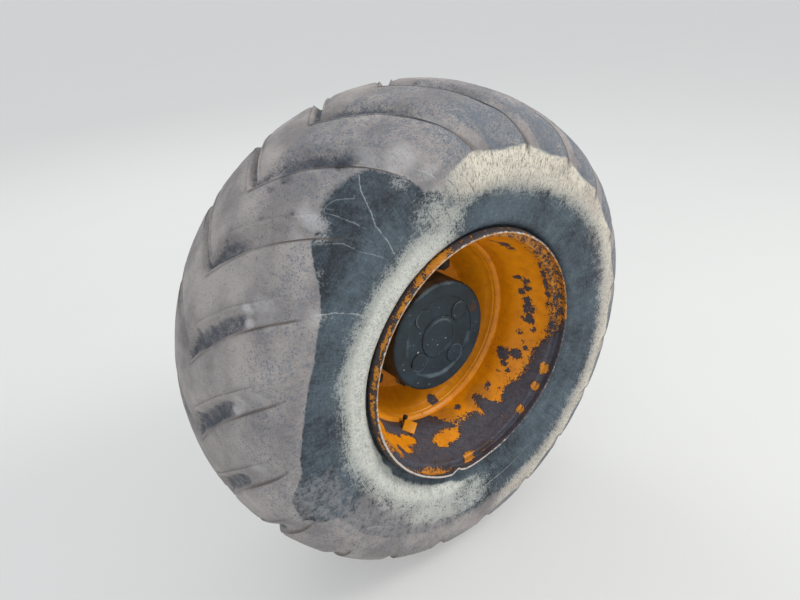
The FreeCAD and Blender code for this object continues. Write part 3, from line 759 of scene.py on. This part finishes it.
def rim_barrel(material):
    bm = turned(BARREL, 360, 6.5)
    bare, grime, rubbed = [bm.verts.layers.float.new(value) for value in PAINT_VALUES]
    for vert in bm.verts:
        radius, angle, depth = wheel_place(vert.co)
        inner = radius < along_rows([(c[1], c[0]) for c in BARREL[:6]], depth)[0] - 2.5
        if depth > 250:
            value = 0.12 + 0.55 * ease(depth, 420, 462)
            vert[grime] = 0.3
        elif inner:
            limit = along_rows(BARE_TO, angle)[0]
            value = 1.8 * ease(limit - depth, -30, 22)
            spotty = 0.62 + 0.24 * ease(abs(angle_between(angle, 8)), 50, 25)
            value = max(value, spotty * ease(depth, 66, 30))
            value = max(value, 1.65 * patches(FLAKES, angle, depth, radius))
            value -= 1.0 * patches(ISLANDS, angle, depth, radius)
            vert[grime] = max(0.5 * ease(depth, 60, 15), patches(RUSTY, angle, depth, radius))
        else:
            value = 1.5 - 1.1 * patches(BAND_ISLANDS, angle, depth, radius)
            vert[grime] = 0.9
        vert[bare] = value
        bright = 0.64 + 0.2 * ease(abs(angle_between(angle, 235)), 60, 35)
        bright -= 0.12 * ease(abs(angle_between(angle, -15)), 70, 50)
        vert[rubbed] = bright * ease(min(depth, 463.2 - depth), 2.0, 0.4)
        if depth < 34:
            lean = ease(depth, 34, 6)
            push = along_rows(DENT, angle)[0] * lean + 0.5 * noise.noise(vert.co / (30 * MM)) * lean
            vert.co += Vector((vert.co.x, 0, vert.co.z)).normalized() * push * MM
    return pieced("rim_shell", bm, material, "wheel", "rim_paint", "rim_barrel", sharp=45.0)


DISC = (
    (242.8, 186.0, 1.0), (230.0, 186.0, 6.0), (227.0, 199.0, 9.0), (219.8, 209.0, 12.0), (193.0, 263.5, 8.0),
    (188.0, 268.0, 4.0), (141.0, 268.0, 1.0), (141.0, 282.0), (198.4, 282.0, 8.0), (233.8, 217.4, 8.0),
    (242.8, 208.4, 3.0),
)
DISC_FLAKES = ((274, 227, 15, 10, 1.0), (240, 241, 56, 9, 1.0), (306, 236, 7, 5, 0.6))


def wheel_disc(material):
    bm = turned(DISC, 324, 6.0)
    bare, grime = [bm.verts.layers.float.new(name) for name in ("bare", "grime")]
    for vert in bm.verts:
        radius, angle, depth = wheel_place(vert.co)
        vert[bare] = 1.5 * patches(DISC_FLAKES, angle, radius, radius)
        # Browner and darker where the disc bends out to the weld, low on the left
        vert[grime] = ease(radius, 225, 240) * ease(abs(angle_between(angle, 242)), 24, 12)
    return pieced("disc_shell", bm, material, "wheel", "rim_paint", "wheel_disc")


def disc_weld(material):
    """Weld bead with ripples, 5 mm apart, in the corner between disc and barrel."""
    bm = turned(((243.5, 188.0), (243.5, 174.5, 1.0), (238.5, 175.5, 3.0), (232.5, 182.0, 3.0),
                 (231.0, 188.0, 1.0)), 600, 3.0)
    for vert in bm.verts:
        radius, angle, depth = wheel_place(vert.co)
        if radius < 242.5 and depth < 187:
            swell = 0.35 * math.sin(math.radians(angle * 300)) + 0.6 * noise.noise(vert.co / (18 * MM))
            vert.co += Vector((vert.co.x, 0, vert.co.z)).normalized() * swell * 0.5 * MM
            vert.co.y += swell * 0.4 * MM
    return pieced("weld_bead", bm, material, "wheel", "rim_paint", "disc_weld")


# ---- hub

def hub_body(material):
    bm = turned((
        (116.0, 167.0, 1.0), (140.5, 167.0, 1.0), (140.5, 282.0), (194.0, 282.2, 2.0), (194.0, 306.0, 3.0),
        (134.0, 306.0, 5.0), (120.0, 350.0, 3.0), (98.0, 350.0, 1.0), (98.0, 336.0), (78.0, 336.0, 1.0),
        (78.0, 252.0, 1.0), (116.0, 252.0, 4.0)), 192, 12.0)
    return pieced("hub_shell", bm, material, "wheel", "hub_paint", "hub_body")


# Pale flecks and splashes on the cover: angle, radius, half sizes in mm, strength
SPLASHES = (
    (-156.2, 84.9, 3.5, 5.0, 0.9), (-159, 79, 3, 5, 0.9), (-166.1, 69.3, 2.5, 3, 0.8), (151.4, 66, 2.2, 2.2, 0.8),
    (-32.5, 22.5, 2.2, 2.2, 0.8), (-109.8, 21.8, 2, 2, 0.7), (-159.8, 122.6, 2.6, 2.6, 0.9),
    (-166.8, 120.1, 2.2, 2.2, 0.7), (-147.2, 120.9, 2.2, 2.2, 0.7), (-169.8, 39.1, 2, 2, 0.7),
    (-127.7, 124, 2.2, 2.2, 0.7), (-109.6, 124.7, 2.4, 2.4, 0.8), (62, 88, 1.8, 1.8, 0.6),
    (100, 96, 1.8, 1.8, 0.6), (20, 66, 1.6, 1.6, 0.6), (-70, 92, 1.8, 1.8, 0.6), (-15, 118, 1.8, 1.8, 0.6),
)


# Edges of the cover pale, rubbed and painted as highlights: angle, radius, half sizes in mm, strength
HIGHLIT_AND_RUBBED_ARCS = (
    (80, 44, 44, 4, 0.85), (-60, 44, 30, 4, 0.5), (180, 44, 20, 4, 0.4), (90, 137, 80, 5, 0.8),
    (-92, 104, 75, 6, 0.95), (-26, 100, 24, 7, 0.7), (175, 101, 30, 6, 0.6), (30, 104, 30, 5, 0.4),
    (-90, 137, 60, 4, 0.5),
)


def planet_cover(material):
    bm = turned((
        (0.0, 142.5), (42.0, 142.5, 0.6), (42.6, 141.2, 0.6), (54.0, 141.2, 1.0), (54.6, 144.0, 1.0),
        (102.6, 144.0, 1.0), (103.4, 141.0, 1.0), (137.0, 141.0, 3.0), (140.7, 144.6, 1.5),
        (140.7, 167.0), (0.0, 167.0)), 192, 3.0)
    bosses = bmesh.new()
    prism(bosses, 48, 24.5, -4.0, 2.9, round_top=2.2)
    tops = [f for f in bosses.faces if f.normal.z > 0.99]
    bmesh.ops.inset_region(bosses, faces=tops, thickness=2.5 * MM)
    bmesh.ops.inset_region(bosses, faces=tops, thickness=6.0 * MM)
    # A painted highlight round the top rim of each boss, strongest on one side
    worn = bosses.verts.layers.float.new("worn")
    for vert in bosses.verts:
        turn = math.atan2(vert.co.y, vert.co.x)
        vert[worn] = ((0.45 + 0.45 * math.sin(turn + 0.6)) * ease(vert.co.z, 0.3 * MM, 1.6 * MM)
                      * ease(math.hypot(vert.co.x, vert.co.y), 0.0195, 0.0225))
    bmesh.ops.transform(bosses, matrix=outward(80.0, 0, 144.0), verts=bosses.verts)
    repeated(bosses, 4, -55.0)
    fleck, worn = [bm.verts.layers.float.new(name) for name in ("fleck", "worn")]
    for vert in bm.verts:
        radius, angle, depth = wheel_place(vert.co)
        vert[fleck] = patches(SPLASHES, angle, radius, radius)
        vert[worn] = patches(HIGHLIT_AND_RUBBED_ARCS, angle, radius, radius)
    pieced("cover_bosses", bosses, material, "wheel", "hub_paint")
    return pieced("hub_cover", bm, material, "wheel", "hub_paint", "planet_cover")


def fasteners(steel, collar_steel, plug_steel):
    bm = bmesh.new()
    for radius, angle in ((99.7, 44.0), (131.0, -143.5)):
        head = bmesh.new()
        prism(head, 24, 4.4, -5.0, -1.5, round_top=0.8)
        bmesh.ops.transform(head, matrix=outward(radius, angle, 141.0), verts=head.verts)
        mesh = bpy.data.meshes.new("head")
        head.to_mesh(mesh)
        bm.from_mesh(mesh)
        head.free()
    pieced("screw_heads", bm, steel, "wheel", "fastener_steel", "cover_screws")

    washer = bmesh.new()
    prism(washer, 40, 11.2, -0.3, 0.8, round_top=0.4)
    bmesh.ops.transform(washer, matrix=outward(117.0, 18.8, 141.0), verts=washer.verts)
    pieced("plug_washer", washer, plug_steel, "wheel", "plug_steel")
    plug = bmesh.new()
    prism(plug, 40, 7.4, -4.5, 1.6, round_top=0.8)
    bmesh.ops.transform(plug, matrix=outward(117.0, 18.8, 141.0), verts=plug.verts)
    pieced("filler_plug", plug, steel, "wheel", "plug_steel", "oil_plug")

    nuts = bmesh.new()
    prism(nuts, 36, 21.0, 0.2, 4.0, round_top=1.0)
    hexes = bmesh.new()
    prism(hexes, 6, 32.0 / math.sqrt(3), 3.0, 22.0, round_top=2.2)
    for made in (nuts, hexes):
        bmesh.ops.transform(made, matrix=outward(167.5, 0, 268.0), verts=made.verts)
        repeated(made, 10, 45.0)
    pieced("nut_collars", nuts, collar_steel, "wheel", "fastener_steel")
    pieced("nut_set", hexes, steel, "wheel", "fastener_steel", "wheel_nuts")

    studs = bmesh.new()
    prism(studs, 28, 10.9, -38.0, 25.0, round_top=1.8)
    heads = bmesh.new()
    prism(heads, 6, 30.0 / math.sqrt(3), -46.9, -38.2, round_foot=1.5)
    for made in (studs, heads):
        bmesh.ops.transform(made, matrix=outward(167.5, 0, 268.0), verts=made.verts)
        repeated(made, 10, 45.0)
    pieced("stud_heads", heads, steel, "wheel", "fastener_steel")
    pieced("stud_set", studs, steel, "wheel", "fastener_steel", "wheel_studs")


def valve(brass, cap_plastic, guard):
    inward = turn_to(-117.0) @ Matrix.Translation((243.0 * MM, at(167.0), 0)) @ Matrix.Rotation(-math.pi / 2, 4, "Y")
    for name, sides, radius, low, high, rounding, material, slot, node in (
            ("valve_tube", 24, 4.4, -9.0, 12.0, 0.6, brass, "valve_brass", "valve_stem"),
            ("valve_hex", 6, 8.0, 0.4, 4.3, 0.8, brass, "valve_brass", "valve_nut"),
            ("valve_top", 12, 6.0, 12.0, 23.0, 1.4, cap_plastic, "cap_plastic", "valve_cap")):
        bm = bmesh.new()
        prism(bm, sides, radius, low, high, round_top=rounding)
        bmesh.ops.transform(bm, matrix=inward, verts=bm.verts)
        pieced(name, bm, material, "wheel", slot, node)
    tab = bmesh.new()
    bmesh.ops.create_cube(tab, size=1.0)
    bmesh.ops.transform(tab, matrix=Matrix.Diagonal((33 * MM, 5 * MM, 31 * MM, 1)), verts=tab.verts)
    bmesh.ops.bevel(tab, geom=tab.edges[:], offset=1.2 * MM, offset_type="OFFSET", segments=3, profile=0.5,
                    affect="EDGES", material=-1)
    stand = (turn_to(-122.5) @ Matrix.Translation((243.0 * MM, at(133.0), 0))
             @ Matrix.Rotation(math.radians(52), 4, "X") @ Matrix.Rotation(math.radians(-50), 4, "Z")
             @ Matrix.Rotation(math.radians(-6), 4, "Y") @ Matrix.Translation((-12 * MM, 0, 8 * MM)))
    bmesh.ops.transform(tab, matrix=stand, verts=tab.verts)
    pieced("guard_tab", tab, guard, "wheel", "guard_paint", "valve_guard")


def axle_end(iron, bright, rubber):
    post = turned((
        (32.0, 232.0, 1.0), (77.7, 232.0, 2.0), (77.7, 355.0), (104.0, 355.0, 3.0), (104.0, 368.0, 5.0),
        (112.0, 376.0, 5.0), (150.0, 376.0, 2.5), (150.0, 400.0, 1.5), (32.0, 400.0, 1.0)), 192, 14.0)
    holed(post, 12, 0.0, 128.0, 8.75, 376.0, 400.0)
    pieced("spindle_post", post, iron, "axle_end", "axle_iron", "spindle")
    sleeve = turned(((77.9, 336.2), (82.7, 336.2, 0.8), (82.7, 354.9, 0.8), (77.9, 354.9)), 120)
    pieced("seal_track", sleeve, bright, "axle_end", "bright_steel", "spindle_sleeve")
    seal = turned(((83.0, 336.2, 1.0), (97.9, 336.2, 1.0), (97.9, 348.0, 1.0), (92.0, 348.0, 1.0),
                   (90.0, 345.0, 1.0), (86.0, 346.5, 1.0), (83.0, 344.0, 0.5)), 120)
    pieced("lip_seal", seal, rubber, "wheel", "seal_rubber", "hub_seal")
    inner = turned(((21.0, 384.0, 0.8), (31.9, 384.0, 1.0), (31.9, 396.0, 1.0), (27.5, 396.0, 0.8),
                    (26.0, 392.0, 1.0), (23.0, 394.0, 1.0), (21.0, 391.0, 0.5)), 96)
    pieced("bore_seal", inner, rubber, "axle_end", "seal_rubber", "shaft_seal")


# ---- stage

def seen_rays(owner):
    """1 for rays that show a surface: from the camera, off gloss and through clear parts."""
    path = add(owner, "LightPath").node.outputs
    seen = add(owner, "Math", {0: path["Is Camera Ray"], 1: path["Is Glossy Ray"]}, operation="MAXIMUM")
    return add(owner, "Math", {0: seen, 1: path["Is Transmission Ray"]}, operation="MAXIMUM")


def stage():
    floor_look, shader = finish("studio_floor", Roughness=0.9)
    here = add(floor_look, "TexCoord", output="Object")
    grain = add(floor_look, "TexNoise", {"Vector": here, "Scale": per(400), "Detail": 2.0})
    tone = coated(floor_look, colour("#DEDEDB"), (grain, 0.0, 1.0, 1.0, "#E2E2DF"))
    link(floor_look, tone, shader, "Base Color")
    # A part of what is seen of the floor is its own plain tone, the rest takes the shadow
    nodes = floor_look.node_tree.nodes
    seen = add(floor_look, "Math", {0: seen_rays(floor_look), 1: 0.36}, operation="MULTIPLY")
    plain = add(floor_look, "Emission", {"Color": colour("#EBEBE9")})
    shown = add(floor_look, "MixShader", {0: seen, 1: shader.outputs[0], 2: plain})
    floor_look.node_tree.links.new(shown, nodes["Material Output"].inputs[0])
    bm = bmesh.new()
    bmesh.ops.create_grid(bm, x_segments=2, y_segments=2, size=40.0)
    bmesh.ops.translate(bm, verts=bm.verts, vec=(0, 0, cad_box[0][2]))
    mesh = bpy.data.meshes.new("floor")
    bm.to_mesh(mesh)
    bm.free()
    mesh.materials.append(floor_look)
    floor = bpy.data.objects.new("floor", mesh)
    bpy.context.collection.objects.link(floor)

    world = bpy.data.worlds.new("studio")
    bpy.context.scene.world = world
    world.use_nodes = True
    nodes = world.node_tree.nodes
    nodes["Background"].inputs["Color"].default_value = (0.90, 0.95, 1.0, 1)
    nodes["Background"].inputs["Strength"].default_value = 0.75
    shown = add(world, "Background", {"Color": colour("#D0D2D2")})
    mix = add(world, "MixShader", {0: seen_rays(world), 1: nodes["Background"].outputs[0], 2: shown})
    world.node_tree.links.new(mix, nodes["World Output"].inputs[0])

    for name, where, size, power, tint in (
            ("key", (2.4, -2.6, 3.2), 1.6, 95.0, (1.0, 0.97, 0.92)),
            ("fill", (-3.2, -2.4, 1.6), 2.4, 20.0, (0.88, 0.94, 1.0)),
            ("back", (0.5, 3.5, 2.8), 2.4, 40.0, (1.0, 1.0, 1.0))):
        lamp = bpy.data.lights.new(name, "AREA")
        lamp.size = size
        lamp.energy = power
        lamp.color = tint
        holder = bpy.data.objects.new(name, lamp)
        holder.matrix_world = (Matrix.Translation(where)
                               @ (Vector(where) - Vector((0, -0.2, 0))).to_track_quat("Z", "Y").to_matrix().to_4x4())
        bpy.context.collection.objects.link(holder)


def camera():
    """Camera at the viewing angle of the photograph."""
    lens = bpy.data.cameras.new("camera")
    lens.sensor_width = 36.0
    lens.lens = 30.93
    holder = bpy.data.objects.new("camera", lens)
    holder.matrix_world = (Matrix.Translation((-0.925, -1.337, 0.851))
                           @ Matrix.Rotation(math.radians(-37.02), 4, "Z")
                           @ Matrix.Rotation(math.radians(90 - 27.7), 4, "X")
                           @ Matrix.Rotation(math.radians(-4.1), 4, "Z"))
    bpy.context.collection.objects.link(holder)
    bpy.context.scene.camera = holder


bpy.context.scene.view_settings.view_transform = "Standard"
camera()
stage()
tyre()
enamel = rim_paint()
rim_barrel(enamel)
wheel_disc(enamel)
disc_weld(enamel)
black = hub_enamel()
hub_body(black)
planet_cover(black)
steel = plain_metal("dull_zinc_steel", "#5B5A58", "#34302E", 2.0, 0.6, 0.45, 0.7)
fasteners(steel, plain_metal("dusty_collar_steel", "#8F9683", "#565A50", 2.0, 0.2, 0.6, 0.85),
          plain_metal("rusted_plug_steel", "#7A4A30", "#3A2C26", 1.5, 0.3, 0.5, 0.8))
valve(plain_metal("dull_brass", "#9C8450", "#5D4B2B", 1.5, 0.9, 0.35, 0.6),
      plain_metal("moulded_cap_plastic", "#1A1A1B", "#0E0E0F", 1.0, 0.0, 0.45, 0.6),
      chipped_paint("yellow_enamel", "#EC9C00", "#DB8E04"))
axle_end(plain_metal("cast_axle_iron", "#3B3B3D", "#1E1D1E", 3.0, 0.4, 0.5, 0.75, 0.0008),
         plain_metal("ground_steel", "#B9B9B8", "#8F8F90", 0.8, 1.0, 0.18, 0.3, 0.0001),
         plain_metal("seal_nitrile", "#1D1D1E", "#111112", 1.0, 0.0, 0.55, 0.75))
